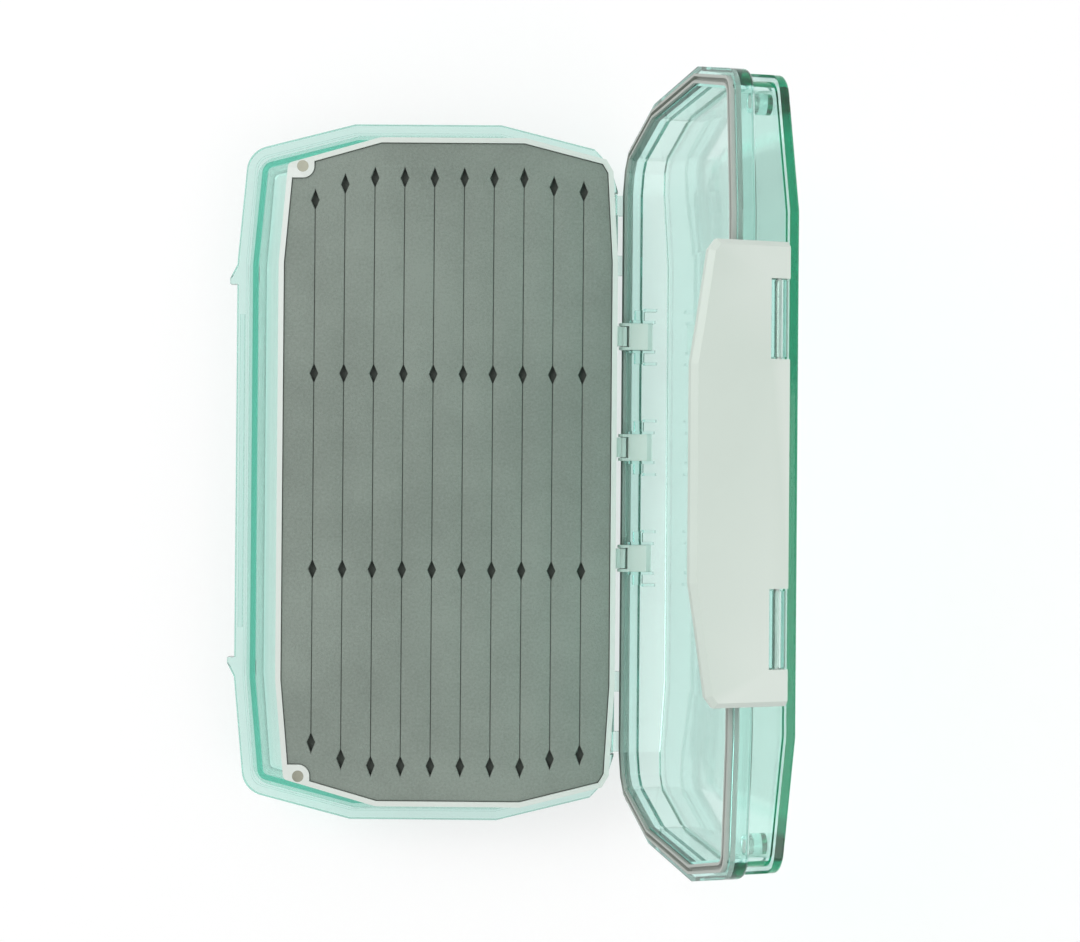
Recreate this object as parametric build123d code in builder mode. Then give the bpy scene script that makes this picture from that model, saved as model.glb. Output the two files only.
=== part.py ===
from build123d import *
import math
import os

# Waterproof clamshell fly box, modelled open with the swing leaf laid over the base.
# All sizes are millimetres. X runs from the latch side to the hinge side, Y along the
# box, Z up. The origin is on the table, under the middle of the base.
os.makedirs("parts", exist_ok=True)

# ---- driving dimensions: plan outline of the sealing flanges (upper half, X and Y) ----
HALF_WIDTH = 52.0
HALF_LENGTH = 95.0
END_FLAT = 20.0                 # half of the straight piece at each end
FACET_START = HALF_LENGTH - 38.0    # the two plates slope towards both ends from here
OUTLINE = [
    (-HALF_WIDTH, FACET_START),                     # front edge starts to slope
    (-HALF_WIDTH + 2.8, HALF_LENGTH - 7.5),         # rounded front corner
    (-END_FLAT, HALF_LENGTH),
    (END_FLAT, HALF_LENGTH),
    (HALF_WIDTH - 6.5, HALF_LENGTH - 6.4),
    (HALF_WIDTH - 2.2, HALF_LENGTH - 11.0),
    (HALF_WIDTH, HALF_LENGTH - 18.0),               # end of the straight hinge side
]
FRONT_CORNER_RADIUS = 7.0
FACET_DROP = 2.4                # how far they have sloped at the very end

# ---- base ----
BASE_RIM = 16.0                 # top of the base flange
BASE_FLANGE = 3.0
BASE_WALL_OUT = 3.9             # wall faces, measured in from the flange edge
BASE_WALL_IN = 5.8
PLATE = 2.3                     # floor of the base and top plate of the lid
PLATE_INSET = 1.0
RIB_INSET = 2.7                 # low sealing rib that meets the gasket groove
RIB_WIDTH = 0.5
RIB_HEIGHT = 0.3

# ---- lid, as it sits when shut ----
LID_RIM = BASE_RIM + 1.5
LID_DEPTH = 14.3
LID_FLANGE = 4.5
LID_WALL_OUT = 2.5
LID_WALL_IN = 4.4
LID_SHOULDER_ROUND = 1.2        # rounding of the outer edge of the lid flange
LID_PLATE_ROUND = 0.8           # rounding of the outer edge of the top plate
LID_TOP = LID_RIM + LID_DEPTH
LID_CEILING = LID_TOP - PLATE

# ---- gasket in the lid flange ----
GASKET_OUT = 1.6
GASKET_IN = 3.8
GASKET_SEAT = 1.5               # depth of the channel in the flange
GASKET_PROUD = 0.8
GROOVE_WIDTH = 0.9
GROOVE_DEPTH = 1.1

# ---- main hinge ----
OPEN_ANGLE = 101.0
HINGE_X = HALF_WIDTH - 1.6
HINGE_Z = BASE_RIM - 2.4
HINGE_PIN_RADIUS = 0.8
KNUCKLE_RADIUS = 1.5
RUNNING = 0.05                  # radial clearance of every turning pin
KNUCKLE_LENGTH = 5.5
KNUCKLE_SPACE = 0.4
HINGE_FROM_END = 18.5           # each hinge ends this far from the end of the box
HINGE_LENGTH = 22.0
HINGE_END = HALF_LENGTH - HINGE_FROM_END
HINGE_START = HINGE_END - HINGE_LENGTH
LID_KNUCKLES = [
    (HINGE_START, HINGE_START + KNUCKLE_LENGTH),
    (HINGE_END - KNUCKLE_LENGTH, HINGE_END),
]
BASE_KNUCKLE = (
    HINGE_START + KNUCKLE_LENGTH + KNUCKLE_SPACE,
    HINGE_END - KNUCKLE_LENGTH - KNUCKLE_SPACE,
)
KNUCKLE_GAP = 0.35
PIN_END = 0.2                   # the hinge pins stop this far inside the last knuckles

# ---- swing leaf, as it sits when the box is shut ----
LEAF_SHIFT_X = 7.2              # how far the leaf moves to the hinge side on opening
LEAF_SHIFT_Z = 0.89             # and how far it rises
LEAF_BOTTOM = BASE_RIM + 0.35
LEAF_THICK = 6.4
LEAF_OUTLINE = [
    (-HALF_WIDTH + 5.3, HALF_LENGTH - 38.8),
    (-HALF_WIDTH + 7.65, HALF_LENGTH - 12.1),
    (-END_FLAT + 0.6, HALF_LENGTH - 5.0),
    (END_FLAT - 0.6, HALF_LENGTH - 5.0),
    (HALF_WIDTH - 10.7, HALF_LENGTH - 10.6),
    (HALF_WIDTH - 8.8, HALF_LENGTH - 13.8),
    (HALF_WIDTH - 7.4, HALF_LENGTH - 38.0),
]
LIP = 1.4                       # width of the raised frame round the foam
WEB = 1.0
TAPE = 0.2
FOAM = 2.2
FOAM_GAP = 0.25
MAGNET_X = -HALF_WIDTH + 11.6
MAGNET_Y = HALF_LENGTH - 12.9
MAGNET_RADIUS = 1.55
MAGNET_THICK = 2.0
TAB_RADIUS = 3.1

# ---- slit foam: ten columns of slits with diamond shaped starts ----
FIRST_COLUMN_X = -HALF_WIDTH + 15.0
LAST_COLUMN_X = HALF_WIDTH - 16.7
DIAMOND_WIDTH = 2.2
DIAMOND_LENGTH = 5.6
SLIT_WIDTH = 0.25
SLIT_DEPTH = 1.5
DIAMOND_DEPTH = 1.8
LONG_COLUMN = HALF_LENGTH - 15.9
COLUMN_END = [LONG_COLUMN - 6.1, LONG_COLUMN - 1.8]
COLUMN_END += [LONG_COLUMN] * 6
COLUMN_END += [LONG_COLUMN - 2.2, LONG_COLUMN - 3.5]
COLUMN_PITCH = (LAST_COLUMN_X - FIRST_COLUMN_X) / (len(COLUMN_END) - 1)
MIDDLE_ROW = LONG_COLUMN / 3

# ---- hinge brackets of the leaf, three along the hinge side of the lid ----
ARM_OFFSET = 7.1                # the middle bracket stands this far off the centre
ARM_PITCH = 30.2
ARM_STATIONS = [ARM_OFFSET + ARM_PITCH, ARM_OFFSET, ARM_OFFSET - ARM_PITCH]
TONGUE_WIDTH = 5.3
BRACKET_WIDTH = 7.3
CHEEK = 0.8
BRACKET_THICK = 2.2
BRACKET_TOP = LID_RIM + 6.9
LEAF_EYE_RADIUS = 1.1
LEAF_PIN_RADIUS = 0.5
POCKET_RIB = 0.8
POCKET_HALF = 7.3
POCKET_BLOCK = 1.6              # how far the blocks between those ribs stand off the wall

# ---- latch, as it sits when shut and latched ----
LATCH_AXIS_X = -HALF_WIDTH - 1.7
LATCH_AXIS_Z = LID_TOP - 5.6
LATCH_THICK = 2.6
LATCH_TOP = LATCH_AXIS_Z + 2.1
LATCH_BOTTOM = BASE_RIM - 9.9
LATCH_FROM_END = 45.3           # the latch stops this far from the ends of the box
LATCH_HALF = HALF_LENGTH - LATCH_FROM_END
LATCH_STRAIGHT = 26.5           # where the long free edge starts to slope, from the latch end
LATCH_KNEE = 17.5               # where it slopes more
LATCH_CORNER = 2.3
LATCH_SIDE_RISE = 5.6           # heights of those corners over the free edge
LATCH_CORNER_RISE = 3.8
LATCH_KNEE_RISE = 1.5
LATCH_PIN_RADIUS = 0.6
LUG_RADIUS = 1.9
LUG_FROM_END = 8.4              # from the latch end to the window
LUG_LENGTH = 16.4
LUG_SPAN = (LATCH_HALF - LUG_FROM_END - LUG_LENGTH, LATCH_HALF - LUG_FROM_END)
WINDOW_GAP = 0.4
LATCH_AJAR = 6.0                # the latch hangs this far off its shut position
CATCH_HALF = LATCH_HALF - 6.7
CATCH_DEPTH = 0.8
HOOK_GAP = 0.3
HOOK_TOP = BASE_RIM - BASE_FLANGE - CATCH_DEPTH - HOOK_GAP
GUIDE_GAP = 1.4                 # between the end of the latch and its guides
GUIDE_REACH = 2.0


def inset(points, amount):
    """Move every side of a half outline inwards by the same amount."""
    ring = points + [(x, -y) for x, y in reversed(points)]
    count = len(ring)
    moved = []
    for index in range(count):
        before = ring[index - 1]
        here = ring[index]
        after = ring[(index + 1) % count]
        a = math.atan2(here[1] - before[1], here[0] - before[0])
        b = math.atan2(after[1] - here[1], after[0] - here[0])
        half = (b - a) / 2
        while half > math.pi / 2:
            half -= math.pi
        while half < -math.pi / 2:
            half += math.pi
        reach = amount / math.cos(half)
        moved.append((here[0] + reach * math.sin(a + half), here[1] - reach * math.cos(a + half)))
    return moved


def outline_sketch(amount, radius, points=None):
    """Face of the flange outline moved in by an amount, with round front corners."""
    ring = inset(points or OUTLINE, amount)
    with BuildSketch() as face:
        with BuildLine():
            Polyline(*ring, close=True)
        make_face()
        front = face.vertices().filter_by(
            lambda v: abs(abs(v.Y) - abs(ring[1][1])) < 0.01 and v.X < 0
        )
        fillet(front, radius)
    return face.sketch


def round_front(amount):
    return max(FRONT_CORNER_RADIUS - amount, 1.5)


def half_turn(angle):
    """Unit vectors of a frame turned about Y, clockwise seen with X right and Z up."""
    turn = math.radians(angle)
    return (math.cos(turn), 0, -math.sin(turn)), (math.sin(turn), 0, math.cos(turn))


lid_x, lid_z = half_turn(OPEN_ANGLE)
HINGE = Vector(HINGE_X, 0, HINGE_Z)


def in_lid(x, z, y=0.0):
    """Where a point of the shut lid is once the lid stands open."""
    return HINGE + Vector(*lid_x) * (x - HINGE_X) + Vector(*lid_z) * (z - HINGE_Z) + Vector(0, y, 0)


def lid_level(z):
    """Plan plane of the open lid at a height given for the shut lid."""
    return Plane(origin=in_lid(0, z), x_dir=lid_x, z_dir=lid_z)


def lid_section(y):
    """Cross section plane of the open lid: X and Z as in the shut lid, less the origin."""
    return Plane(origin=in_lid(0, 0, y), x_dir=lid_x, z_dir=(0, -1, 0))


def base_section(y):
    return Plane(origin=(0, y, 0), x_dir=(1, 0, 0), z_dir=(0, -1, 0))


# The leaf keeps level while its pivot swings round with the lid, so the pivot is the one
# point that the opening of the lid carries by exactly the shift of the leaf.
HALF_COT = 1 / math.tan(math.radians(OPEN_ANGLE / 2))
LEAF_PIVOT_X = HINGE_X - (LEAF_SHIFT_X + LEAF_SHIFT_Z * HALF_COT) / 2
LEAF_PIVOT_Z = HINGE_Z + (LEAF_SHIFT_X * HALF_COT - LEAF_SHIFT_Z) / 2


def leaf_level(z):
    return Plane(origin=(LEAF_SHIFT_X, 0, z + LEAF_SHIFT_Z), x_dir=(1, 0, 0), z_dir=(0, 0, 1))


def leaf_section(y):
    return Plane(origin=(LEAF_SHIFT_X, y, LEAF_SHIFT_Z), x_dir=(1, 0, 0), z_dir=(0, -1, 0))


def mirrored(span):
    return [(span[0], span[1]), (-span[1], -span[0])]


def rim_edges(solid, way):
    """Outer edges of the faces that look one way: the edges only one such face has."""
    facing = [f for f in solid.faces() if f.normal_at().dot(Vector(*way)) > 0.95]
    edges = [e for f in facing for e in f.edges()]
    return [e for e in edges if sum(1 for other in edges if other.is_same(e)) == 1]


# =====================================================================  base shell
SLOPE = FACET_DROP / (HALF_LENGTH - FACET_START)
REACH = HALF_LENGTH + 10
END_DROP = SLOPE * (REACH - FACET_START)

with BuildPart() as base_room:
    # the space inside the base: its floor follows the sloped ends
    with BuildSketch(Plane(origin=(0, 0, 0), x_dir=(0, 1, 0), z_dir=(1, 0, 0))):
        with BuildLine():
            Polyline(
                (-REACH, BASE_RIM + 1),
                (-REACH, PLATE + END_DROP),
                (-FACET_START, PLATE),
                (FACET_START, PLATE),
                (REACH, PLATE + END_DROP),
                (REACH, BASE_RIM + 1),
                close=True,
            )
        make_face()
    extrude(amount=HALF_WIDTH, both=True)
    with BuildSketch(Plane.XY.offset(-5)):
        add(outline_sketch(BASE_WALL_IN, round_front(BASE_WALL_IN)))
    extrude(amount=BASE_RIM + 10, mode=Mode.INTERSECT)
    fillet(base_room.edges().group_by(Axis.Z)[0], 1.6)

with BuildPart() as base_shell:
    with BuildSketch():
        add(outline_sketch(PLATE_INSET, round_front(PLATE_INSET)))
    extrude(amount=PLATE)
    # end parts of the floor plate climb with the slope
    with BuildSketch(Plane(origin=(0, 0, 0), x_dir=(0, 1, 0), z_dir=(1, 0, 0))):
        for side in (1, -1):
            with BuildLine():
                Polyline(
                    (side * FACET_START, 0),
                    (side * REACH, END_DROP),
                    (side * REACH, END_DROP + PLATE),
                    (side * FACET_START, PLATE),
                    close=True,
                )
            make_face()
    extrude(amount=HALF_WIDTH, both=True)
    with BuildSketch(Plane.XY.offset(-5)):
        add(outline_sketch(PLATE_INSET, round_front(PLATE_INSET)))
    extrude(amount=BASE_RIM + 10, mode=Mode.INTERSECT)
    with BuildSketch(Plane.XY.offset(PLATE - 1)):
        add(outline_sketch(BASE_WALL_OUT, round_front(BASE_WALL_OUT)))
    extrude(amount=BASE_RIM - PLATE + 1)
    with BuildSketch(Plane.XY.offset(BASE_RIM - BASE_FLANGE)):
        add(outline_sketch(0, FRONT_CORNER_RADIUS))
    extrude(amount=BASE_FLANGE)
    # sealing rib
    with BuildSketch(Plane.XY.offset(BASE_RIM)):
        add(outline_sketch(RIB_INSET - RIB_WIDTH / 2, round_front(RIB_INSET)))
        add(outline_sketch(RIB_INSET + RIB_WIDTH / 2, round_front(RIB_INSET)), mode=Mode.SUBTRACT)
    extrude(amount=RIB_HEIGHT)
    # the underside slopes up at both ends
    with BuildSketch(Plane(origin=(0, 0, 0), x_dir=(0, 1, 0), z_dir=(1, 0, 0))):
        for side in (1, -1):
            with BuildLine():
                Polyline(
                    (side * FACET_START, 0),
                    (side * REACH, END_DROP),
                    (side * REACH, -3),
                    (side * FACET_START, -3),
                    close=True,
                )
            make_face()
    extrude(amount=HALF_WIDTH + 2, both=True, mode=Mode.SUBTRACT)
    add(base_room.part, mode=Mode.SUBTRACT)
    # wedge shaped guides either side of the latch
    with BuildSketch(Plane.XY.offset(BASE_RIM - BASE_FLANGE)):
        for side in (1, -1):
            with BuildLine():
                Polyline(
                    (-HALF_WIDTH + 0.5, side * (LATCH_HALF + GUIDE_GAP + 6.4)),
                    (-HALF_WIDTH - GUIDE_REACH, side * (LATCH_HALF + GUIDE_GAP + 1.5)),
                    (-HALF_WIDTH - GUIDE_REACH, side * (LATCH_HALF + GUIDE_GAP)),
                    (-HALF_WIDTH + 0.5, side * (LATCH_HALF + GUIDE_GAP)),
                    close=True,
                )
            make_face()
    extrude(amount=BASE_FLANGE)
    # catch ridge under the front of the flange
    with BuildSketch(Plane.XY.offset(BASE_RIM - BASE_FLANGE)):
        with Locations((-HALF_WIDTH + 1.1, 0)):
            Rectangle(1.2, 2 * CATCH_HALF)
    extrude(amount=-CATCH_DEPTH)
    # hinge knuckles of the base
    for low, high in mirrored(BASE_KNUCKLE):
        with BuildSketch(base_section((low + high) / 2)):
            with Locations((HINGE_X, HINGE_Z)):
                Circle(KNUCKLE_RADIUS)
        extrude(amount=(high - low) / 2, both=True)
    # room for the knuckles of the lid
    for span in LID_KNUCKLES:
        for low, high in mirrored(span):
            with BuildSketch(base_section((low + high) / 2)):
                with BuildLine():
                    Polyline(
                        (HINGE_X - KNUCKLE_RADIUS - 0.4, HINGE_Z - KNUCKLE_RADIUS - 2),
                        (HINGE_X - KNUCKLE_RADIUS - 0.4, BASE_RIM - 0.6),
                        (HINGE_X, BASE_RIM - 0.6),
                        (HINGE_X, BASE_RIM + 1),
                        (HALF_WIDTH + 2, BASE_RIM + 1),
                        (HALF_WIDTH + 2, HINGE_Z - KNUCKLE_RADIUS - 2),
                        close=True,
                    )
                make_face()
            extrude(amount=(high - low) / 2 + KNUCKLE_GAP, both=True, mode=Mode.SUBTRACT)
    # room for the hinge brackets of the leaf inside the back wall
    for y in ARM_STATIONS:
        with BuildSketch(base_section(y)):
            with Locations((HALF_WIDTH - BASE_WALL_IN - 1, BASE_RIM - 1.5)):
                Rectangle(2.85, 4, align=(Align.MIN, Align.MIN))
        extrude(amount=BRACKET_WIDTH / 2 + 0.4, both=True, mode=Mode.SUBTRACT)
    # soften the back edge so the gasket swings clear of it
    back = base_shell.edges().filter_by(Axis.Y).filter_by(
        lambda e: abs(e.center().X - HALF_WIDTH) < 0.01 and abs(e.center().Z - BASE_RIM) < 0.01
    )
    chamfer(back, 0.6)
    # bore for the hinge pins
    for low, high in mirrored(BASE_KNUCKLE):
        with BuildSketch(base_section((low + high) / 2)):
            with Locations((HINGE_X, HINGE_Z)):
                Circle(HINGE_PIN_RADIUS)
        extrude(amount=(high - low) / 2 + 1, both=True, mode=Mode.SUBTRACT)
base_shell.part.label = "base_shell"
export_step(base_shell.part, "parts/base_shell.step")

# =====================================================================  lid shell
with BuildPart() as lid_room:
    # the space inside the lid: its ceiling follows the sloped ends
    with BuildSketch(Plane(origin=in_lid(0, 0), x_dir=(0, 1, 0), z_dir=lid_x)):
        with BuildLine():
            Polyline(
                (-REACH, LID_RIM - 1),
                (-REACH, LID_CEILING - END_DROP),
                (-FACET_START, LID_CEILING),
                (FACET_START, LID_CEILING),
                (REACH, LID_CEILING - END_DROP),
                (REACH, LID_RIM - 1),
                close=True,
            )
        make_face()
    extrude(amount=HALF_WIDTH, both=True)
    with BuildSketch(lid_level(LID_RIM - 1)):
        add(outline_sketch(LID_WALL_IN, round_front(LID_WALL_IN)))
    extrude(amount=LID_DEPTH + 5, mode=Mode.INTERSECT)

with BuildPart() as lid_plate:
    # top plate, bent down a little towards both ends
    with BuildSketch(Plane(origin=in_lid(0, 0), x_dir=(0, 1, 0), z_dir=lid_x)):
        with BuildLine():
            Polyline(
                (-REACH, LID_TOP - END_DROP),
                (-FACET_START, LID_TOP),
                (FACET_START, LID_TOP),
                (REACH, LID_TOP - END_DROP),
                (REACH, LID_CEILING - END_DROP),
                (FACET_START, LID_CEILING),
                (-FACET_START, LID_CEILING),
                (-REACH, LID_CEILING - END_DROP),
                close=True,
            )
        make_face()
    extrude(amount=HALF_WIDTH, both=True)
    with BuildSketch(lid_level(LID_RIM - 1)):
        add(outline_sketch(PLATE_INSET, round_front(PLATE_INSET)))
    extrude(amount=LID_DEPTH + 5, mode=Mode.INTERSECT)
    fillet(rim_edges(lid_plate.part, lid_z), LID_PLATE_ROUND)

with BuildPart() as lid_shell:
    with BuildSketch(lid_level(LID_RIM)):
        add(outline_sketch(0, FRONT_CORNER_RADIUS))
    extrude(amount=LID_FLANGE)
    fillet(rim_edges(lid_shell.part, lid_z), LID_SHOULDER_ROUND)
    with BuildSketch(lid_level(LID_RIM + LID_FLANGE - 1)):
        add(outline_sketch(LID_WALL_OUT, round_front(LID_WALL_OUT)))
    extrude(amount=LID_DEPTH - LID_FLANGE - FACET_DROP - 0.5 + 1)
    add(lid_plate.part)
    with BuildSketch(lid_level(LID_RIM + LID_FLANGE)):
        add(outline_sketch(LID_WALL_OUT, round_front(LID_WALL_OUT)))
        with BuildLine():
            Polyline(
                (-HALF_WIDTH, -FACET_START - 12),
                (HALF_WIDTH, -FACET_START - 12),
                (HALF_WIDTH, FACET_START + 12),
                (-HALF_WIDTH, FACET_START + 12),
                close=True,
            )
        make_face(mode=Mode.INTERSECT)
    extrude(amount=LID_CEILING - LID_RIM - LID_FLANGE)
    add(lid_room.part, mode=Mode.SUBTRACT)
    # channel for the gasket
    with BuildSketch(lid_level(LID_RIM)):
        add(outline_sketch(GASKET_OUT, round_front(GASKET_OUT)))
        add(outline_sketch(GASKET_IN, round_front(GASKET_IN)), mode=Mode.SUBTRACT)
    extrude(amount=GASKET_SEAT, mode=Mode.SUBTRACT)
    # bosses that hold the magnets of the lid
    with BuildSketch(lid_level(LEAF_BOTTOM + LEAF_THICK + 0.4)):
        with Locations((MAGNET_X, MAGNET_Y), (MAGNET_X, -MAGNET_Y)):
            Circle(2.6)
    extrude(amount=LID_CEILING - LEAF_BOTTOM - LEAF_THICK - 0.4 - 0.5)
    with BuildSketch(lid_level(LEAF_BOTTOM + LEAF_THICK + 0.4)):
        with Locations((MAGNET_X, MAGNET_Y), (MAGNET_X, -MAGNET_Y)):
            Circle(MAGNET_RADIUS)
    extrude(amount=MAGNET_THICK, mode=Mode.SUBTRACT)
    # ribs that hold the three hinge brackets of the leaf
    for y in ARM_STATIONS:
        for side in (1, -1):
            with BuildSketch(lid_section(y + side * (BRACKET_WIDTH / 2 + POCKET_RIB / 2))):
                with Locations((HALF_WIDTH - LID_WALL_IN + 0.5, LID_RIM + 0.5)):
                    Rectangle(3.0, BRACKET_TOP - LID_RIM, align=(Align.MAX, Align.MIN))
            extrude(amount=POCKET_RIB / 2, both=True)
            with BuildSketch(lid_section(y + side * POCKET_HALF)):
                with Locations((HALF_WIDTH - LID_WALL_IN + 0.5, LID_RIM + LID_FLANGE)):
                    Rectangle(3.0, 3.4, align=(Align.MAX, Align.MIN))
            extrude(amount=POCKET_RIB / 2, both=True)
            # low block between the two ribs, level with the flange
            block_start = BRACKET_WIDTH / 2 + POCKET_RIB / 2
            with BuildSketch(lid_section(y + side * (block_start + POCKET_HALF) / 2)):
                with Locations((HALF_WIDTH - LID_WALL_IN + 0.5, LID_RIM + GASKET_SEAT + 0.5)):
                    Rectangle(
                        POCKET_BLOCK + 0.5,
                        LID_FLANGE - GASKET_SEAT - 0.5,
                        align=(Align.MAX, Align.MIN),
                    )
            extrude(amount=(POCKET_HALF - block_start) / 2, both=True)
    # lugs that carry the latch
    for low, high in mirrored(LUG_SPAN):
        with BuildSketch(lid_section((low + high) / 2)):
            with Locations((LATCH_AXIS_X, LATCH_AXIS_Z)):
                Circle(LUG_RADIUS)
            with BuildLine():
                Polyline(
                    (LATCH_AXIS_X, LATCH_AXIS_Z - 1.2),
                    (-HALF_WIDTH + LID_WALL_OUT + 0.5, LATCH_AXIS_Z - 1.2),
                    (-HALF_WIDTH + LID_WALL_OUT + 0.5, LATCH_AXIS_Z + 1.6),
                    (LATCH_AXIS_X, LATCH_AXIS_Z + 1.6),
                    close=True,
                )
            make_face()
            with Locations((LATCH_AXIS_X, LATCH_AXIS_Z)):
                Circle(LATCH_PIN_RADIUS + RUNNING, mode=Mode.SUBTRACT)
        extrude(amount=(high - low) / 2, both=True)
    # knuckles of the main hinge, hanging from the back of the flange
    for span in LID_KNUCKLES:
        for low, high in mirrored(span):
            with BuildSketch(lid_section((low + high) / 2)):
                with Locations((HINGE_X, HINGE_Z)):
                    Circle(KNUCKLE_RADIUS)
                with BuildLine():
                    Polyline(
                        (HINGE_X + 0.35, HINGE_Z),
                        (HALF_WIDTH, HINGE_Z + 0.6),
                        (HALF_WIDTH, LID_RIM + 0.3),
                        (HINGE_X + 0.35, LID_RIM + 0.3),
                        close=True,
                    )
                make_face()
                with Locations((HINGE_X, HINGE_Z)):
                    Circle(HINGE_PIN_RADIUS + RUNNING, mode=Mode.SUBTRACT)
            extrude(amount=(high - low) / 2, both=True)
lid_shell.part.label = "lid_shell"
export_step(lid_shell.part, "parts/lid_shell.step")

# =====================================================================  gasket
with BuildPart() as lid_gasket:
    with BuildSketch(lid_level(LID_RIM - GASKET_PROUD)):
        add(outline_sketch(GASKET_OUT, round_front(GASKET_OUT)))
        add(outline_sketch(GASKET_IN, round_front(GASKET_IN)), mode=Mode.SUBTRACT)
    extrude(amount=GASKET_SEAT + GASKET_PROUD)
    with BuildSketch(lid_level(LID_RIM - GASKET_PROUD)):
        add(outline_sketch(RIB_INSET - GROOVE_WIDTH / 2, round_front(RIB_INSET)))
        add(
            outline_sketch(RIB_INSET + GROOVE_WIDTH / 2, round_front(RIB_INSET)),
            mode=Mode.SUBTRACT,
        )
    extrude(amount=GROOVE_DEPTH, mode=Mode.SUBTRACT)
lid_gasket.part.label = "lid_gasket"
export_step(lid_gasket.part, "parts/lid_gasket.step")

# =====================================================================  main hinge pins
hinge_pins = mirrored((HINGE_START + PIN_END, HINGE_END - PIN_END))
for name, (low, high) in zip(("hinge_pin_upper", "hinge_pin_lower"), hinge_pins):
    with BuildPart() as hinge_pin:
        with BuildSketch(base_section((low + high) / 2)):
            with Locations((HINGE_X, HINGE_Z)):
                Circle(HINGE_PIN_RADIUS)
        extrude(amount=(high - low) / 2, both=True)
    hinge_pin.part.label = name
    export_step(hinge_pin.part, "parts/" + name + ".step")

# =====================================================================  swing leaf
WEB_BOTTOM = LEAF_BOTTOM + (LEAF_THICK - WEB) / 2
LEAF_TOP = LEAF_BOTTOM + LEAF_THICK


def foam_pocket(gap):
    """Plan of the foam: the frame opening less a gap, notched round the magnet tabs."""
    ring = inset(LEAF_OUTLINE, LIP + gap)
    with BuildSketch() as face:
        with BuildLine():
            Polyline(*ring, close=True)
        make_face()
        with Locations((MAGNET_X, MAGNET_Y), (MAGNET_X, -MAGNET_Y)):
            Circle(TAB_RADIUS + gap, mode=Mode.SUBTRACT)
        with Locations((MAGNET_X, MAGNET_Y + 4), (MAGNET_X, -MAGNET_Y - 4)):
            Rectangle(2 * (TAB_RADIUS + gap), 8, mode=Mode.SUBTRACT)
        with Locations((MAGNET_X - 4, MAGNET_Y), (MAGNET_X - 4, -MAGNET_Y)):
            Rectangle(8, 2 * (TAB_RADIUS + gap), mode=Mode.SUBTRACT)
    return face.sketch


with BuildPart() as leaf_frame:
    with BuildSketch(leaf_level(LEAF_BOTTOM)):
        add(outline_sketch(0, 1.6, LEAF_OUTLINE))
    extrude(amount=LEAF_THICK)
    with BuildSketch(leaf_level(WEB_BOTTOM + WEB)):
        add(foam_pocket(0))
    extrude(amount=LEAF_THICK, mode=Mode.SUBTRACT)
    with BuildSketch(leaf_level(WEB_BOTTOM)):
        add(foam_pocket(0))
    extrude(amount=-LEAF_THICK, mode=Mode.SUBTRACT)
    # seats of the two magnets
    with BuildSketch(leaf_level(LEAF_TOP)):
        with Locations((MAGNET_X, MAGNET_Y), (MAGNET_X, -MAGNET_Y)):
            Circle(MAGNET_RADIUS)
    extrude(amount=-MAGNET_THICK, mode=Mode.SUBTRACT)
    # tongues that reach to the pivot of the leaf
    edge = LEAF_OUTLINE[-1][0]
    for y in ARM_STATIONS:
        with BuildSketch(leaf_section(y)):
            with BuildLine():
                Polyline(
                    (edge - 1, LEAF_BOTTOM),
                    (edge, LEAF_BOTTOM),
                    (LEAF_PIVOT_X - 0.6, LEAF_PIVOT_Z - LEAF_EYE_RADIUS + 0.18),
                    (LEAF_PIVOT_X, LEAF_PIVOT_Z),
                    (LEAF_PIVOT_X - 0.4, LEAF_PIVOT_Z + 1.0),
                    (LEAF_PIVOT_X - 1.35, LEAF_PIVOT_Z + 1.5),
                    (LEAF_PIVOT_X - 1.35, LEAF_PIVOT_Z + 3.4),
                    (edge - 1, LEAF_PIVOT_Z + 3.4),
                    close=True,
                )
            make_face()
            with Locations((LEAF_PIVOT_X, LEAF_PIVOT_Z)):
                Circle(LEAF_EYE_RADIUS)
                Circle(LEAF_PIN_RADIUS + RUNNING, mode=Mode.SUBTRACT)
        extrude(amount=TONGUE_WIDTH / 2, both=True)
leaf_frame.part.label = "leaf_frame"
export_step(leaf_frame.part, "parts/leaf_frame.step")

foam_sides = (
    ("upper", WEB_BOTTOM + WEB, 1),
    ("lower", WEB_BOTTOM, -1),
)
for side_name, face_height, way in foam_sides:
    with BuildPart() as tape:
        with BuildSketch(leaf_level(face_height)):
            add(foam_pocket(FOAM_GAP))
        extrude(amount=way * TAPE)
    tape.part.label = "foam_tape_" + side_name
    export_step(tape.part, "parts/foam_tape_" + side_name + ".step")

    foam_face = face_height + way * (TAPE + FOAM)
    with BuildPart() as foam:
        with BuildSketch(leaf_level(face_height + way * TAPE)):
            add(foam_pocket(FOAM_GAP))
        extrude(amount=way * FOAM)
        with BuildSketch(leaf_level(foam_face)):
            for column, end in enumerate(COLUMN_END):
                x = FIRST_COLUMN_X + column * COLUMN_PITCH
                with Locations((x, 0)):
                    Rectangle(SLIT_WIDTH, 2 * end)
        extrude(amount=-way * SLIT_DEPTH, mode=Mode.SUBTRACT)
        with BuildSketch(leaf_level(foam_face)):
            for column, end in enumerate(COLUMN_END):
                x = FIRST_COLUMN_X + column * COLUMN_PITCH
                with Locations((x, end), (x, MIDDLE_ROW), (x, -MIDDLE_ROW), (x, -end)):
                    Polygon(
                        (-DIAMOND_WIDTH / 2, 0),
                        (0, DIAMOND_LENGTH / 2),
                        (DIAMOND_WIDTH / 2, 0),
                        (0, -DIAMOND_LENGTH / 2),
                    )
        extrude(amount=-way * DIAMOND_DEPTH, mode=Mode.SUBTRACT)
    foam.part.label = "leaf_foam_" + side_name
    export_step(foam.part, "parts/leaf_foam_" + side_name + ".step")

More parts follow.
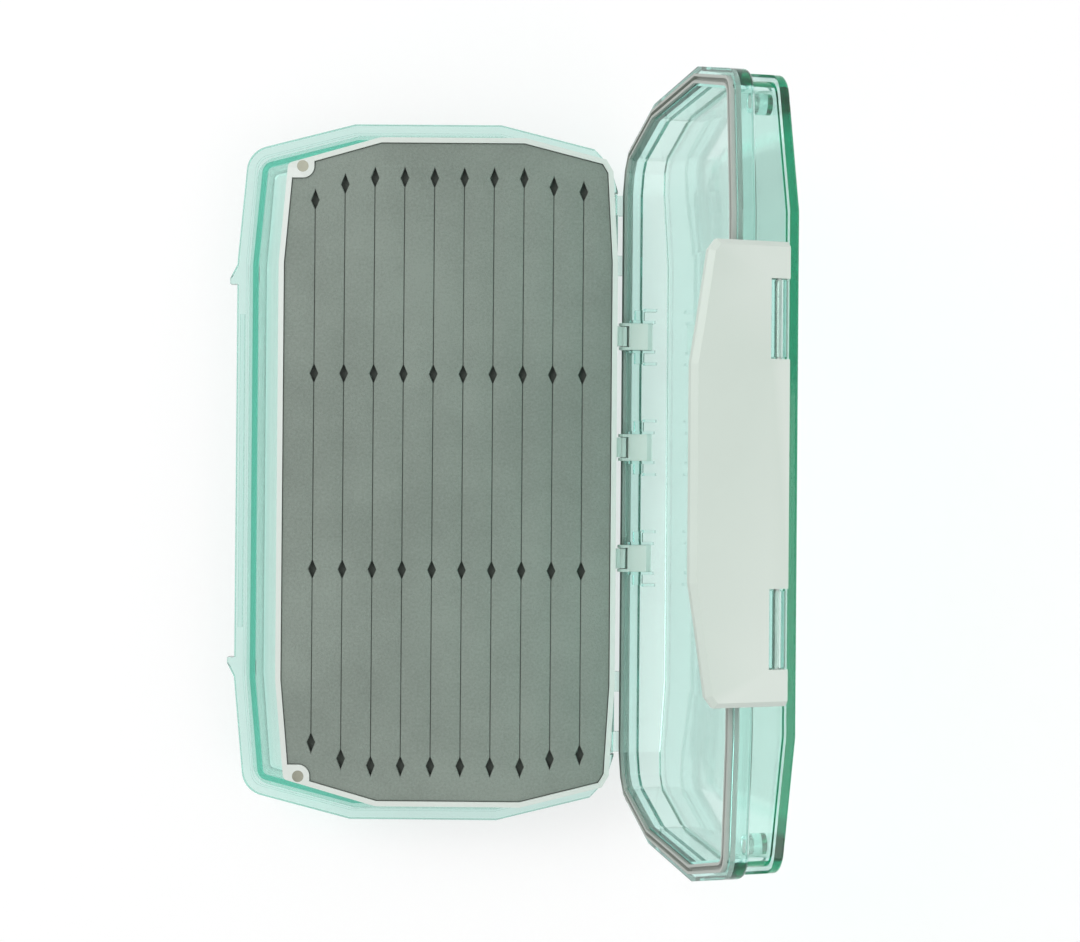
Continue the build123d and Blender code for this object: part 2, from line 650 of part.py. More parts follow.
# =====================================================================  magnets
for name, y in (("upper", MAGNET_Y), ("lower", -MAGNET_Y)):
    with BuildPart() as leaf_magnet:
        with BuildSketch(leaf_level(LEAF_TOP)):
            with Locations((MAGNET_X, y)):
                Circle(MAGNET_RADIUS)
        extrude(amount=-MAGNET_THICK)
    leaf_magnet.part.label = "leaf_magnet_" + name
    export_step(leaf_magnet.part, "parts/leaf_magnet_" + name + ".step")
    with BuildPart() as lid_magnet:
        with BuildSketch(lid_level(LEAF_TOP + 0.4)):
            with Locations((MAGNET_X, y)):
                Circle(MAGNET_RADIUS)
        extrude(amount=MAGNET_THICK)
    lid_magnet.part.label = "lid_magnet_" + name
    export_step(lid_magnet.part, "parts/lid_magnet_" + name + ".step")

# =====================================================================  leaf hinge brackets
BLOCK_BOTTOM = LEAF_PIVOT_Z + LEAF_EYE_RADIUS + 0.4
BRACKET_BACK = HALF_WIDTH - LID_WALL_IN
BRACKET_FRONT = BRACKET_BACK - BRACKET_THICK
for number, y in enumerate(ARM_STATIONS, start=1):
    with BuildPart() as bracket:
        with BuildSketch(lid_section(y)):
            with BuildLine():
                Polyline(
                    (BRACKET_FRONT, BLOCK_BOTTOM),
                    (BRACKET_BACK, BLOCK_BOTTOM),
                    (BRACKET_BACK, BRACKET_TOP),
                    (BRACKET_FRONT + 1.2, BRACKET_TOP),
                    (BRACKET_FRONT, BRACKET_TOP - 1.6),
                    close=True,
                )
            make_face()
        extrude(amount=BRACKET_WIDTH / 2, both=True)
        for side in (1, -1):
            with BuildSketch(lid_section(y + side * (BRACKET_WIDTH - CHEEK) / 2)):
                with Locations((LEAF_PIVOT_X, LEAF_PIVOT_Z)):
                    Circle(LEAF_EYE_RADIUS)
                with BuildLine():
                    Polyline(
                        (LEAF_PIVOT_X - LEAF_EYE_RADIUS, LEAF_PIVOT_Z),
                        (LEAF_PIVOT_X + LEAF_EYE_RADIUS, LEAF_PIVOT_Z),
                        (LEAF_PIVOT_X + LEAF_EYE_RADIUS, BLOCK_BOTTOM + 0.5),
                        (LEAF_PIVOT_X - LEAF_EYE_RADIUS, BLOCK_BOTTOM + 0.5),
                        close=True,
                    )
                make_face()
                with Locations((LEAF_PIVOT_X, LEAF_PIVOT_Z)):
                    Circle(LEAF_PIN_RADIUS, mode=Mode.SUBTRACT)
            extrude(amount=CHEEK / 2, both=True)
    bracket.part.label = "leaf_bracket_" + str(number)
    export_step(bracket.part, "parts/leaf_bracket_" + str(number) + ".step")
    with BuildPart() as leaf_pin:
        with BuildSketch(lid_section(y)):
            with Locations((LEAF_PIVOT_X, LEAF_PIVOT_Z)):
                Circle(LEAF_PIN_RADIUS)
        extrude(amount=BRACKET_WIDTH / 2, both=True)
    leaf_pin.part.label = "leaf_pin_" + str(number)
    export_step(leaf_pin.part, "parts/leaf_pin_" + str(number) + ".step")

# =====================================================================  latch
# The latch turns about its own axis on the lid; it is drawn slightly ajar.
latch_x, latch_z = half_turn(OPEN_ANGLE + LATCH_AJAR)
LATCH_AXIS = in_lid(LATCH_AXIS_X, LATCH_AXIS_Z)


def in_latch(x, z, y=0.0):
    away = Vector(*latch_x) * (x - LATCH_AXIS_X) + Vector(*latch_z) * (z - LATCH_AXIS_Z)
    return LATCH_AXIS + away + Vector(0, y, 0)


def latch_section(y):
    return Plane(origin=in_latch(0, 0, y), x_dir=latch_x, z_dir=(0, -1, 0))


LATCH_OUT = LATCH_AXIS_X - LATCH_THICK / 2
with BuildPart() as latch:
    # outline seen from the front, then hook and windows
    with BuildSketch(Plane(origin=in_latch(LATCH_OUT, 0), x_dir=(0, 1, 0), z_dir=latch_x)):
        with BuildLine():
            Polyline(
                (-LATCH_HALF, LATCH_TOP),
                (LATCH_HALF, LATCH_TOP),
                (LATCH_HALF, LATCH_BOTTOM + LATCH_SIDE_RISE),
                (LATCH_HALF - LATCH_CORNER, LATCH_BOTTOM + LATCH_CORNER_RISE),
                (LATCH_HALF - LATCH_KNEE, LATCH_BOTTOM + LATCH_KNEE_RISE),
                (LATCH_HALF - LATCH_STRAIGHT, LATCH_BOTTOM),
                (-LATCH_HALF + LATCH_STRAIGHT, LATCH_BOTTOM),
                (-LATCH_HALF + LATCH_KNEE, LATCH_BOTTOM + LATCH_KNEE_RISE),
                (-LATCH_HALF + LATCH_CORNER, LATCH_BOTTOM + LATCH_CORNER_RISE),
                (-LATCH_HALF, LATCH_BOTTOM + LATCH_SIDE_RISE),
                close=True,
            )
        make_face()
    extrude(amount=LATCH_THICK)
    # bevel round the three free sides of the outer face
    rim = latch.faces().sort_by(lambda f: (f.center() - in_latch(LATCH_OUT, 17)).length)[0]
    free_edges = [
        e for e in rim.edges() if (e.center() - in_latch(LATCH_OUT, LATCH_TOP)).length > 3.0
    ]
    chamfer(free_edges, 1.2)
    # hook that reaches under the catch ridge
    with BuildSketch(latch_section(0)):
        with BuildLine():
            Polyline(
                (LATCH_AXIS_X, HOOK_TOP),
                (-HALF_WIDTH + 0.9, HOOK_TOP),
                (-HALF_WIDTH + 0.5, HOOK_TOP - 1.0),
                (LATCH_AXIS_X, HOOK_TOP - 2.6),
                close=True,
            )
        make_face()
    extrude(amount=CATCH_HALF - 1, both=True)
    # open windows for the lugs of the lid
    for low, high in mirrored(LUG_SPAN):
        with BuildSketch(latch_section((low + high) / 2)):
            with Locations((LATCH_AXIS_X, LATCH_AXIS_Z - LUG_RADIUS - WINDOW_GAP)):
                Rectangle(8, 8, align=(Align.CENTER, Align.MIN))
        extrude(amount=(high - low) / 2 + WINDOW_GAP, both=True, mode=Mode.SUBTRACT)
    # pin holes
    for low, high in mirrored((LUG_SPAN[0] - 2.6, LUG_SPAN[1] + 2.6)):
        with BuildSketch(latch_section((low + high) / 2)):
            with Locations((LATCH_AXIS_X, LATCH_AXIS_Z)):
                Circle(LATCH_PIN_RADIUS)
        extrude(amount=(high - low) / 2, both=True, mode=Mode.SUBTRACT)
latch.part.label = "latch"
export_step(latch.part, "parts/latch.step")

latch_pins = mirrored((LUG_SPAN[0] - 2.6, LUG_SPAN[1] + 2.6))
for name, (low, high) in zip(("latch_pin_upper", "latch_pin_lower"), latch_pins):
    with BuildPart() as latch_pin:
        with BuildSketch(latch_section((low + high) / 2)):
            with Locations((LATCH_AXIS_X, LATCH_AXIS_Z)):
                Circle(LATCH_PIN_RADIUS)
        extrude(amount=(high - low) / 2, both=True)
    latch_pin.part.label = name
    export_step(latch_pin.part, "parts/" + name + ".step")
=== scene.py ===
import math

import bmesh
import bpy
from mathutils import Matrix, Vector


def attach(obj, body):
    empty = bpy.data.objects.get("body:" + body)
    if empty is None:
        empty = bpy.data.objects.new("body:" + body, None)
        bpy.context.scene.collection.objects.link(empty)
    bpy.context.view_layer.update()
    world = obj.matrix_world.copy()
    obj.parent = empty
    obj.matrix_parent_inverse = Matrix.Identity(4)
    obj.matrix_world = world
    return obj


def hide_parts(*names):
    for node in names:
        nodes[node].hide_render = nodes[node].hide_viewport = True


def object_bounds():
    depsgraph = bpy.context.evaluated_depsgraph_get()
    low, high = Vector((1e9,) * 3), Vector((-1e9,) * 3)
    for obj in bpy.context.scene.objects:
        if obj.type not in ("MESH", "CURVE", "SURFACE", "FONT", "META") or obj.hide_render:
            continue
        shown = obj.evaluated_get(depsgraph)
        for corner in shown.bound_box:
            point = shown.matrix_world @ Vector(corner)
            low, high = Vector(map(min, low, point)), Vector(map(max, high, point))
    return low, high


# Looks of the fly box: clear teal shells, white leaf with slit foam, white latch.
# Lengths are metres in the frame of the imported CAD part.
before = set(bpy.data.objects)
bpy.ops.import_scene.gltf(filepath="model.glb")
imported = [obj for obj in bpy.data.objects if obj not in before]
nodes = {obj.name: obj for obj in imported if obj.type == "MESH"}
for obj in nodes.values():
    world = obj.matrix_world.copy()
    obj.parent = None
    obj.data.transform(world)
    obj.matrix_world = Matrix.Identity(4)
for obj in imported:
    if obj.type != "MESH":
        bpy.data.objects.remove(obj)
cad_low, cad_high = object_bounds()
scene = bpy.context.scene
MM = 0.001

# ---------------------------------------------------------------- values: camera
# the view of the photograph, with the lens and sensor in millimetres
LENS = 54.724
SENSOR_WIDTH = 36.0
NEAR_CLIP = 0.01
FAR_CLIP = 20.0
CAMERA_PLACE = (0.033807, -0.000825, 0.464866)
CAMERA_ROLL = math.radians(-0.458)
CAMERA_TIP_X = math.radians(-0.171)
CAMERA_TIP_Y = math.radians(-0.327)

# light runs along inside the clear plates, reflecting many times before it leaves
LIGHT_BOUNCES = 32

# ---------------------------------------------------------------- values: colours (linear)
# clear plastic: tint of one crossing, then the absorption colour and density along the path
LID_TINT = (0.83, 0.91, 0.88)
LID_ABSORB = (0.08, 0.845, 0.74)
LID_DENSITY = 63.0
BASE_TINT = (0.96, 0.94, 0.93)
BASE_ABSORB = (0.12, 0.767, 0.653)
BASE_DENSITY = 150.0
TEAL_SHADOW = (0.80, 0.96, 0.93)
WHITE_PLASTIC = (0.665, 0.71, 0.665)
# painted shade: the latch is the same white plastic, painted darker for how the light falls on
# it
LATCH_PAINTED_SHADE_WHITE = (0.585, 0.67, 0.605)
FOAM_GREY = (0.265, 0.308, 0.272)
FOAM_DARK = (0.195, 0.228, 0.20)
# painted shade: the colour of the foam deep inside its cuts
FOAM_PAINTED_SHADE = (0.09, 0.105, 0.092)
RUBBER_GREY = (0.42, 0.45, 0.415)
MAGNET_GREY = (0.31, 0.315, 0.255)
BRIGHT_NICKEL = (0.74, 0.78, 0.74)
STEEL_GREY = (0.62, 0.62, 0.60)
TAPE_CREAM = (0.70, 0.69, 0.62)
# the same surfaces where their edges are worn
WHITE_WORN = (0.78, 0.82, 0.79)
LATCH_WORN = (0.68, 0.74, 0.69)
RUBBER_WORN = (0.50, 0.53, 0.50)
TAPE_WORN = (0.76, 0.75, 0.70)

# ---------------------------------------------------------------- values: surface detail
# noise scales, in waves per metre
PLASTIC_CLOUD = 55.0
CLEAR_CLOUD = 40.0
CLEAR_SCRATCH = 900.0
FOAM_CLOUD = 30.0
FOAM_PORES = 2600.0
FOAM_GRIT = 1500.0
METAL_CLOUD = 400.0
FLOOR_CLOUD = 6.0
# depths of the relief
FINE_GRAIN = 0.015 * MM
COARSE_GRAIN = 0.030 * MM
CLEAR_RELIEF = 0.006 * MM
FOAM_RELIEF = 0.080 * MM
METAL_RELIEF = 0.020 * MM

PLASTIC_IOR = 1.47
CLEAR_IOR = 1.50
FLOW_MARKS = 3.0                # how much the slow waves outweigh the fine scratches
EDGE_WEAR = 0.6                 # share of the worn colour along a sharp edge
PLASTIC_DIP = 0.965             # darkest cloud in plastic, as a share of its colour
METAL_DIP = 0.8                 # the same in metal
CUT_SHADE_REACH = 3.0 * MM      # how near a wall brings painted shade onto the foam inside its cuts
CUT_SHADE_LOW = 0.45            # openness at which the foam is at its darkest
CUT_SHADE_HIGH = 0.95           # openness from which it keeps its own colour

# ---------------------------------------------------------------- values: soft edges
LEAF_EDGE = 0.25 * MM
LEAF_EDGE_STEPS = 2
LATCH_EDGE = 0.8 * MM
LATCH_EDGE_STEPS = 4
EDGE_TURN = math.radians(30)    # only edges that turn more than this are rounded
SAME_POINT = 0.01 * MM

# ---------------------------------------------------------------- values: foam slabs
CUT_SWELL = 0.10 * MM           # cut foam springs back, so that the slits nearly close
RIM_SWELL = 0.20 * MM           # and the slab presses against the rim of its pocket
FOAM_ROUND = 0.30 * MM          # soft rim of every cut and of the slab itself
FOAM_ROUND_STEPS = 4
FLAT_TURN = math.radians(1)     # faces this close to level with each other are joined
SHARP_TURN = math.radians(35)   # edges that turn more than this stay sharp
UPRIGHT_FACE = 0.1              # greatest |z| of the normal of an upright wall
LEVEL_FACE = 0.9                # least |z| of the normal of a level face
ALONG = 0.99                    # least share of a length that lies along its axis
SAME_WAY = 0.999                # normals with at least this dot product are one wall
RIM_SHARE = 0.95                # rim edges are longer than this share of the thickness

# ---------------------------------------------------------------- values: floor and light
FLOOR_SIZE = 4.0
FLOOR_DROP = 0.2 * MM           # the floor lies this far under the resting face
FLOOR_WHITE_SHARE = 0.62        # how much of the floor that is seen glows plain white
FLOOR_GLOW = 1.03
FLOOR_DULL = (0.93, 0.93, 0.93)
FLOOR_PALE = (0.95, 0.95, 0.95)
WORLD_SHOWN = 1.0               # white that the camera, gloss and clear plastic see
WORLD_LIGHT = 0.62              # light that the world sheds on the object
LAMP_AIM = (0.03, 0, 0.02)      # over the half of the base that is near the hinge
KEY_PLACE = (-0.55, 0.45, 0.85)
KEY_SIZE = 0.6
KEY_POWER = 5.0
FILL_PLACE = (0.65, -0.35, 0.75)
FILL_SIZE = 0.7
FILL_POWER = 2.4

# ---------------------------------------------------------------- camera
camera_data = bpy.data.cameras.new("camera")
camera_data.lens = LENS
camera_data.sensor_width = SENSOR_WIDTH
camera_data.clip_start = NEAR_CLIP
camera_data.clip_end = FAR_CLIP
camera = bpy.data.objects.new("camera", camera_data)
turn = (
    Matrix.Rotation(-CAMERA_TIP_Y, 3, "Y")
    @ Matrix.Rotation(-CAMERA_TIP_X, 3, "X")
    @ Matrix.Rotation(-CAMERA_ROLL, 3, "Z")
)
camera.matrix_world = Matrix.Translation(CAMERA_PLACE) @ turn.to_4x4()
scene.collection.objects.link(camera)
scene.camera = camera
scene.view_settings.view_transform = "Standard"

scene.cycles.max_bounces = LIGHT_BOUNCES
scene.cycles.glossy_bounces = LIGHT_BOUNCES
scene.cycles.transmission_bounces = LIGHT_BOUNCES
scene.cycles.transparent_max_bounces = LIGHT_BOUNCES


# ---------------------------------------------------------------- node helpers
class Graph:
    """Adds nodes to one material and links them by socket name."""

    def __init__(self, name):
        self.material = bpy.data.materials.new(name)
        self.material.use_nodes = True
        self.tree = self.material.node_tree
        self.tree.nodes.clear()
        self.out = self.tree.nodes.new("ShaderNodeOutputMaterial")
        self.place = self.add("ShaderNodeTexCoord")

    def add(self, kind, **settings):
        node = self.tree.nodes.new(kind)
        for key, value in settings.items():
            setattr(node, key, value)
        return node

    def link(self, source, target):
        self.tree.links.new(source, target)

    def noise(self, scale, detail=3.0, roughness=0.5):
        node = self.add("ShaderNodeTexNoise")
        node.inputs["Scale"].default_value = scale
        node.inputs["Detail"].default_value = detail
        node.inputs["Roughness"].default_value = roughness
        self.link(self.place.outputs["Object"], node.inputs["Vector"])
        return node.outputs["Fac"]

    def spread(self, value, low, high, start=0.3, end=0.7):
        """Maps a 0 to 1 value onto a range."""
        node = self.add("ShaderNodeMapRange")
        node.inputs["From Min"].default_value = start
        node.inputs["From Max"].default_value = end
        node.inputs["To Min"].default_value = low
        node.inputs["To Max"].default_value = high
        self.link(value, node.inputs["Value"])
        return node.outputs["Result"]

    def blend_colours(self, factor, first, second):
        node = self.add("ShaderNodeMix", data_type="RGBA")
        node.inputs["A"].default_value = (*first, 1)
        node.inputs["B"].default_value = (*second, 1)
        self.link(factor, node.inputs["Factor"])
        return node.outputs["Result"]

    def times(self, first, second):
        node = self.add("ShaderNodeMath", operation="MULTIPLY")
        for source, socket in zip((first, second), node.inputs):
            if isinstance(source, float):
                socket.default_value = source
            else:
                self.link(source, socket)
        return node.outputs[0]

    def plus(self, first, second):
        node = self.add("ShaderNodeMath", operation="ADD")
        self.link(first, node.inputs[0])
        self.link(second, node.inputs[1])
        return node.outputs[0]

    def bump(self, height, distance, strength=1.0):
        node = self.add("ShaderNodeBump")
        node.inputs["Strength"].default_value = strength
        node.inputs["Distance"].default_value = distance
        self.link(height, node.inputs["Height"])
        return node.outputs["Normal"]

    def edges(self, low=0.50, high=0.62):
        """1 along convex edges and 0 elsewhere."""
        geometry = self.add("ShaderNodeNewGeometry")
        return self.spread(geometry.outputs["Pointiness"], 0.0, 1.0, low, high)


def plastic(name, colour, worn, roughness, grain, grain_depth):
    """Moulded plastic: fine grain, uneven gloss, paler along its worn edges."""
    g = Graph(name)
    shader = g.add("ShaderNodeBsdfPrincipled")
    cloud = g.noise(PLASTIC_CLOUD, 4.0, 0.6)
    fine = g.noise(grain, 2.0, 0.6)
    dull = [part * PLASTIC_DIP for part in colour]
    shade = g.blend_colours(g.spread(cloud, 0.0, 1.0), dull, colour)
    mix = g.add("ShaderNodeMix", data_type="RGBA")
    g.link(g.times(g.edges(), EDGE_WEAR), mix.inputs["Factor"])
    g.link(shade, mix.inputs["A"])
    mix.inputs["B"].default_value = (*worn, 1)
    g.link(mix.outputs["Result"], shader.inputs["Base Color"])
    g.link(g.spread(cloud, roughness - 0.06, roughness + 0.08), shader.inputs["Roughness"])
    g.link(g.bump(fine, grain_depth), shader.inputs["Normal"])
    shader.inputs["IOR"].default_value = PLASTIC_IOR
    g.link(shader.outputs["BSDF"], g.out.inputs["Surface"])
    return g.material


def clear_plastic(name, tint, absorb, density):
    """Tinted clear plastic: absorbs along the path, with faint scratches and flow marks."""
    g = Graph(name)
    glass = g.add("ShaderNodeBsdfPrincipled")
    glass.inputs["Base Color"].default_value = (*tint, 1)
    glass.inputs["Transmission Weight"].default_value = 1.0
    glass.inputs["IOR"].default_value = CLEAR_IOR
    cloud = g.noise(CLEAR_CLOUD, 3.0, 0.55)
    fine = g.noise(CLEAR_SCRATCH, 2.0, 0.6)
    g.link(g.spread(cloud, 0.03, 0.08), glass.inputs["Roughness"])
    relief = g.plus(g.times(cloud, FLOW_MARKS), fine)
    g.link(g.bump(relief, CLEAR_RELIEF), glass.inputs["Normal"])
    clear = g.add("ShaderNodeBsdfTransparent")
    clear.inputs["Color"].default_value = (*TEAL_SHADOW, 1)
    path = g.add("ShaderNodeLightPath")
    mix = g.add("ShaderNodeMixShader")
    g.link(path.outputs["Is Shadow Ray"], mix.inputs["Fac"])
    g.link(glass.outputs["BSDF"], mix.inputs[1])
    g.link(clear.outputs["BSDF"], mix.inputs[2])
    g.link(mix.outputs["Shader"], g.out.inputs["Surface"])
    inside = g.add("ShaderNodeVolumeAbsorption")
    inside.inputs["Color"].default_value = (*absorb, 1)
    inside.inputs["Density"].default_value = density
    g.link(inside.outputs["Volume"], g.out.inputs["Volume"])
    return g.material


def foam_material():
    """Closed cell foam: fine pores, cloudy tone, rough, with painted shade inside its cuts."""
    g = Graph("closed_cell_foam")
    shader = g.add("ShaderNodeBsdfPrincipled")
    cloud = g.noise(FOAM_CLOUD, 5.0, 0.6)
    pores = g.add("ShaderNodeTexVoronoi")
    pores.inputs["Scale"].default_value = FOAM_PORES
    g.link(g.place.outputs["Object"], pores.inputs["Vector"])
    grit = g.noise(FOAM_GRIT, 3.0, 0.7)
    cells = g.spread(pores.outputs["Distance"], 0.0, 1.0, 0.05, 0.6)
    tone = g.plus(g.times(cloud, 0.5), g.times(grit, 0.5))
    # painted shade: ambient occlusion darkens the foam colour inside the cuts
    open_sky = g.add("ShaderNodeAmbientOcclusion", samples=8)
    open_sky.inputs["Distance"].default_value = CUT_SHADE_REACH
    painted_cut_shade = g.add("ShaderNodeMix", data_type="RGBA")
    openness = g.spread(open_sky.outputs["AO"], 0.0, 1.0, CUT_SHADE_LOW, CUT_SHADE_HIGH)
    g.link(openness, painted_cut_shade.inputs["Factor"])
    painted_cut_shade.inputs["A"].default_value = (*FOAM_PAINTED_SHADE, 1)
    g.link(
        g.blend_colours(g.spread(tone, 0.0, 1.0, 0.36, 0.6), FOAM_DARK, FOAM_GREY),
        painted_cut_shade.inputs["B"],
    )
    g.link(painted_cut_shade.outputs["Result"], shader.inputs["Base Color"])
    g.link(g.spread(cloud, 0.82, 0.95), shader.inputs["Roughness"])
    g.link(g.bump(g.plus(cells, grit), FOAM_RELIEF, 0.7), shader.inputs["Normal"])
    shader.inputs["Specular IOR Level"].default_value = 0.25
    g.link(shader.outputs["BSDF"], g.out.inputs["Surface"])
    return g.material


def metal(name, colour, roughness, scratch):
    """Plated or ground metal with fine scratches and dull patches."""
    g = Graph(name)
    shader = g.add("ShaderNodeBsdfPrincipled")
    shader.inputs["Metallic"].default_value = 1.0
    cloud = g.noise(METAL_CLOUD, 4.0, 0.6)
    lines = g.noise(scratch, 2.0, 0.7)
    dull = [part * METAL_DIP for part in colour]
    g.link(
        g.blend_colours(g.spread(cloud, 0.0, 1.0), dull, colour),
        shader.inputs["Base Color"],
    )
    g.link(g.spread(cloud, roughness - 0.08, roughness + 0.12), shader.inputs["Roughness"])
    g.link(g.bump(lines, METAL_RELIEF), shader.inputs["Normal"])
    g.link(shader.outputs["BSDF"], g.out.inputs["Surface"])
    return g.material


materials = {
    "base_teal": clear_plastic("clear_teal_base", BASE_TINT, BASE_ABSORB, BASE_DENSITY),
    "lid_teal": clear_plastic("clear_teal_lid", LID_TINT, LID_ABSORB, LID_DENSITY),
    "white_plastic": plastic(
        "satin_white_plastic",
        WHITE_PLASTIC,
        WHITE_WORN,
        roughness=0.38,
        grain=2200.0,
        grain_depth=FINE_GRAIN,
    ),
    # the white plastic again, with painted shade for the latch
    "latch_shaded_white_plastic": plastic(
        "satin_white_plastic_painted_shade",
        LATCH_PAINTED_SHADE_WHITE,
        LATCH_WORN,
        roughness=0.40,
        grain=2200.0,
        grain_depth=FINE_GRAIN,
    ),
    "grey_rubber": plastic(
        "grey_seal_rubber",
        RUBBER_GREY,
        RUBBER_WORN,
        roughness=0.62,
        grain=2600.0,
        grain_depth=COARSE_GRAIN,
    ),
    "grey_foam": foam_material(),
    "tape": plastic(
        "cloth_tape",
        TAPE_CREAM,
        TAPE_WORN,
        roughness=0.55,
        grain=3000.0,
        grain_depth=COARSE_GRAIN,
    ),
    "magnet": metal("nickel_plate", MAGNET_GREY, roughness=0.42, scratch=900.0),
    "bright_magnet": metal("bright_nickel_plate", BRIGHT_NICKEL, roughness=0.42, scratch=900.0),
    "steel": metal("steel_wire", STEEL_GREY, roughness=0.46, scratch=1400.0),
}

# finish of each CAD node: the first entry that its name starts with
NODE_FINISH = {
    "base_shell": "base_teal",
    "lid_shell": "lid_teal",
    "lid_gasket": "grey_rubber",
    "leaf_frame": "white_plastic",
    "leaf_bracket": "white_plastic",
    "foam_tape": "tape",
    "leaf_foam": "grey_foam",
    "leaf_magnet": "magnet",
    "lid_magnet": "bright_magnet",
    "hinge_pin": "steel",
    "leaf_pin": "steel",
    "latch_pin": "steel",
    "latch": "latch_shaded_white_plastic",
}


def dress(obj, finish):
    obj.data.materials.clear()
    obj.data.materials.append(materials[finish])


def finish_of(name):
    return next(finish for start, finish in NODE_FINISH.items() if name.startswith(start))


for name, obj in nodes.items():
    dress(obj, finish_of(name))


# ---------------------------------------------------------------- soft edges on the CAD nodes
def soften(obj, width, steps):
    """Rounds the moulded edges without changing the CAD mesh itself."""
    weld = obj.modifiers.new("weld", "WELD")
    weld.merge_threshold = SAME_POINT
    bevel = obj.modifiers.new("edges", "BEVEL")
    bevel.width = width
    bevel.segments = steps
    bevel.limit_method = "ANGLE"
    bevel.angle_limit = EDGE_TURN
    bevel.harden_normals = True


for name, obj in nodes.items():
    if name.startswith(("leaf_frame", "leaf_bracket")):
        soften(obj, LEAF_EDGE, LEAF_EDGE_STEPS)
    elif name == "latch":
        soften(obj, LATCH_EDGE, LATCH_EDGE_STEPS)


# ---------------------------------------------------------------- foam slabs
def is_upright(edge):
    across = edge.verts[0].co - edge.verts[1].co
    return abs(across.z) > ALONG * across.length


def wall_ways(vert, at_rim):
    """Normals of the walls that meet at a point: every wall at the rim, else slit walls."""
    ways = []
    for face in vert.link_faces:
        upright = abs(face.normal.z) < UPRIGHT_FACE
        moving = at_rim or abs(face.normal.x) > ALONG
        if upright and moving and all(face.normal.dot(way) < SAME_WAY for way in ways):
            ways.append(face.normal.copy())
    return ways


def swell_walls(work):
    """Moves the walls of the slits, and the taller rim of the slab, out along their normals."""
    work.normal_update()
    heights = [vert.co.z for vert in work.verts]
    rim_height = RIM_SHARE * (max(heights) - min(heights))
    moves = {}
    for vert in work.verts:
        uprights = [edge for edge in vert.link_edges if is_upright(edge)]
        at_rim = any(edge.calc_length() > rim_height for edge in uprights)
        ways = wall_ways(vert, at_rim)
        if ways:
            amount = RIM_SWELL if at_rim else CUT_SWELL
            total = sum(ways, Vector())
            moves[vert] = total * (len(ways) * amount / total.length_squared)
    for vert, move in moves.items():
        vert.co += move


def slit_rims(work, face_z):
    """Edges between the slit face of the slab and its upright walls."""
    rims = []
    for edge in work.edges:
        level = all(abs(vert.co.z - face_z) < SAME_POINT for vert in edge.verts)
        leans = [abs(face.normal.z) for face in edge.link_faces]
        corner = len(leans) == 2 and min(leans) < UPRIGHT_FACE and max(leans) > LEVEL_FACE
        if level and corner:
            rims.append(edge)
    return rims


def foam_piece(name, node, side):
    """Foam slab with soft rims, shaped like the CAD node it replaces."""
    mesh = nodes[node].data.copy()
    mesh.name = name
    work = bmesh.new()
    work.from_mesh(mesh)
    bmesh.ops.remove_doubles(work, verts=work.verts, dist=SAME_POINT / 2)
    bmesh.ops.dissolve_limit(work, angle_limit=FLAT_TURN, verts=work.verts, edges=work.edges)
    swell_walls(work)
    face_z = side * max(side * vert.co.z for vert in work.verts)
    bmesh.ops.bevel(
        work,
        geom=slit_rims(work, face_z),
        offset=FOAM_ROUND,
        offset_type="OFFSET",
        segments=FOAM_ROUND_STEPS,
        profile=0.5,
        affect="EDGES",
        clamp_overlap=False,
    )
    for face in work.faces:
        face.smooth = True
    work.to_mesh(mesh)
    work.free()
    mesh.set_sharp_from_angle(angle=SHARP_TURN)
    piece = bpy.data.objects.new(name, mesh)
    scene.collection.objects.link(piece)
    dress(piece, "grey_foam")
    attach(piece, "leaf")
    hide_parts(node)


foam_piece("foam_slab_upper", "leaf_foam_upper", 1)
foam_piece("foam_slab_lower", "leaf_foam_lower", -1)


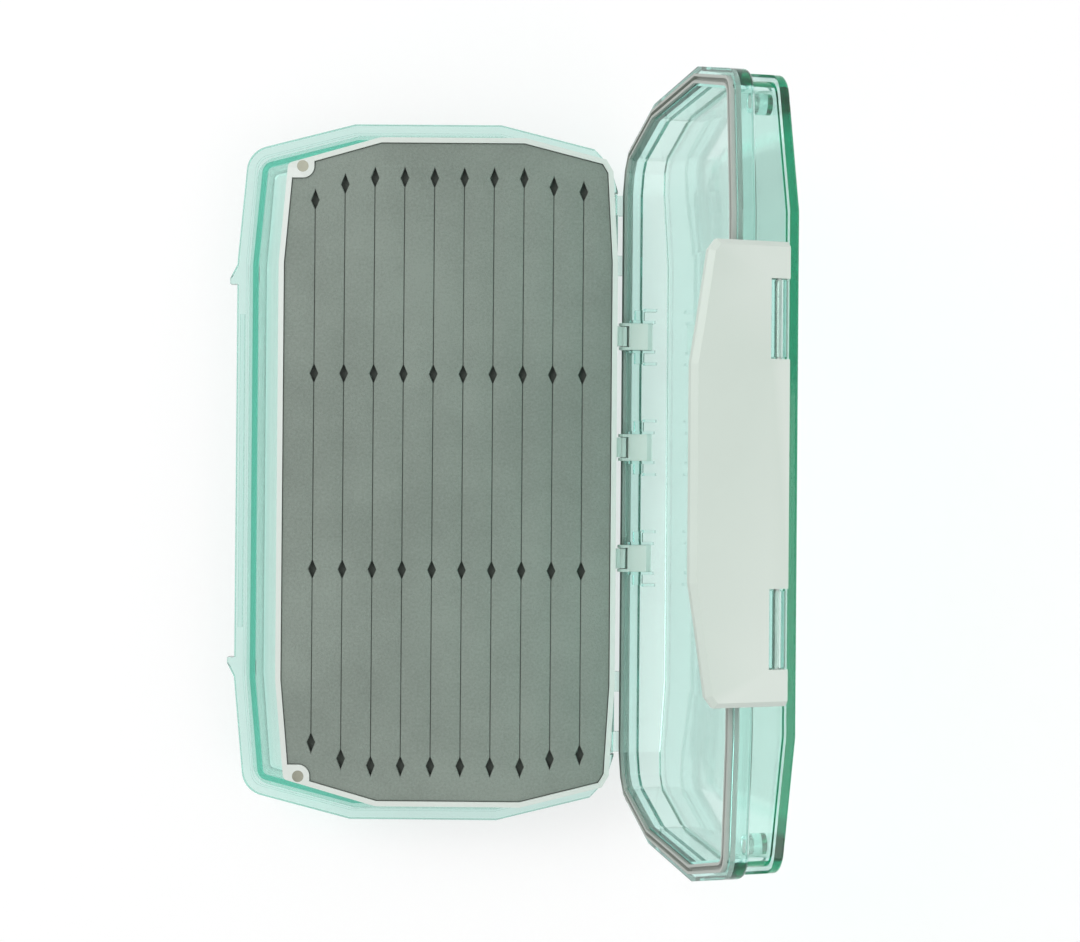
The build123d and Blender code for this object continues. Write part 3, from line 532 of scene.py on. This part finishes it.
# ---------------------------------------------------------------- floor and light
def floor_material():
    """White floor: even for the camera, glass and gloss, with the shadow kept."""
    g = Graph("studio_floor")
    matt = g.add("ShaderNodeBsdfPrincipled")
    cloud = g.noise(FLOOR_CLOUD, 2.0, 0.5)
    g.link(g.blend_colours(cloud, FLOOR_DULL, FLOOR_PALE), matt.inputs["Base Color"])
    matt.inputs["Roughness"].default_value = 0.9
    matt.inputs["Specular IOR Level"].default_value = 0.1
    glow = g.add("ShaderNodeEmission")
    glow.inputs["Color"].default_value = (1, 1, 1, 1)
    glow.inputs["Strength"].default_value = FLOOR_GLOW
    path = g.add("ShaderNodeLightPath")
    seen = g.plus(path.outputs["Is Camera Ray"], path.outputs["Is Glossy Ray"])
    seen = g.plus(seen, path.outputs["Is Transmission Ray"])
    limited = g.add("ShaderNodeClamp")
    g.link(seen, limited.inputs["Value"])
    mix = g.add("ShaderNodeMixShader")
    g.link(g.times(limited.outputs["Result"], FLOOR_WHITE_SHARE), mix.inputs["Fac"])
    g.link(matt.outputs["BSDF"], mix.inputs[1])
    g.link(glow.outputs["Emission"], mix.inputs[2])
    g.link(mix.outputs["Shader"], g.out.inputs["Surface"])
    return g.material


floor_mesh = bpy.data.meshes.new("floor")
half = FLOOR_SIZE / 2
floor_z = cad_low.z - FLOOR_DROP
corners = [(-half, -half), (half, -half), (half, half), (-half, half)]
floor_mesh.from_pydata([(x, y, floor_z) for x, y in corners], [], [(0, 1, 2, 3)])
floor = bpy.data.objects.new("floor", floor_mesh)
floor_mesh.materials.append(floor_material())
scene.collection.objects.link(floor)


def studio_world():
    """White surroundings that light the object less than they show."""
    world = bpy.data.worlds.new("studio")
    world.use_nodes = True
    tree = world.node_tree
    tree.nodes.clear()
    out = tree.nodes.new("ShaderNodeOutputWorld")
    mix = tree.nodes.new("ShaderNodeMixShader")
    for socket, strength in ((1, WORLD_LIGHT), (2, WORLD_SHOWN)):
        white = tree.nodes.new("ShaderNodeBackground")
        white.inputs["Color"].default_value = (1, 1, 1, 1)
        white.inputs["Strength"].default_value = strength
        tree.links.new(white.outputs[0], mix.inputs[socket])
    path = tree.nodes.new("ShaderNodeLightPath")
    seen = path.outputs["Is Camera Ray"]
    for kind in ("Is Glossy Ray", "Is Transmission Ray"):
        either = tree.nodes.new("ShaderNodeMath")
        either.operation = "ADD"
        either.use_clamp = True
        tree.links.new(seen, either.inputs[0])
        tree.links.new(path.outputs[kind], either.inputs[1])
        seen = either.outputs[0]
    tree.links.new(seen, mix.inputs["Fac"])
    tree.links.new(mix.outputs[0], out.inputs["Surface"])
    return world


scene.world = studio_world()


def soft_box(name, place, size, power):
    """A square studio lamp that looks at the common aim of the lamps."""
    data = bpy.data.lights.new(name, "AREA")
    data.shape = "SQUARE"
    data.size = size
    data.energy = power
    lamp = bpy.data.objects.new(name, data)
    lamp.location = place
    way = Vector(LAMP_AIM) - Vector(place)
    lamp.rotation_mode = "QUATERNION"
    lamp.rotation_quaternion = way.to_track_quat("-Z", "Y")
    scene.collection.objects.link(lamp)


soft_box("key", KEY_PLACE, KEY_SIZE, KEY_POWER)
soft_box("fill", FILL_PLACE, FILL_SIZE, FILL_POWER)
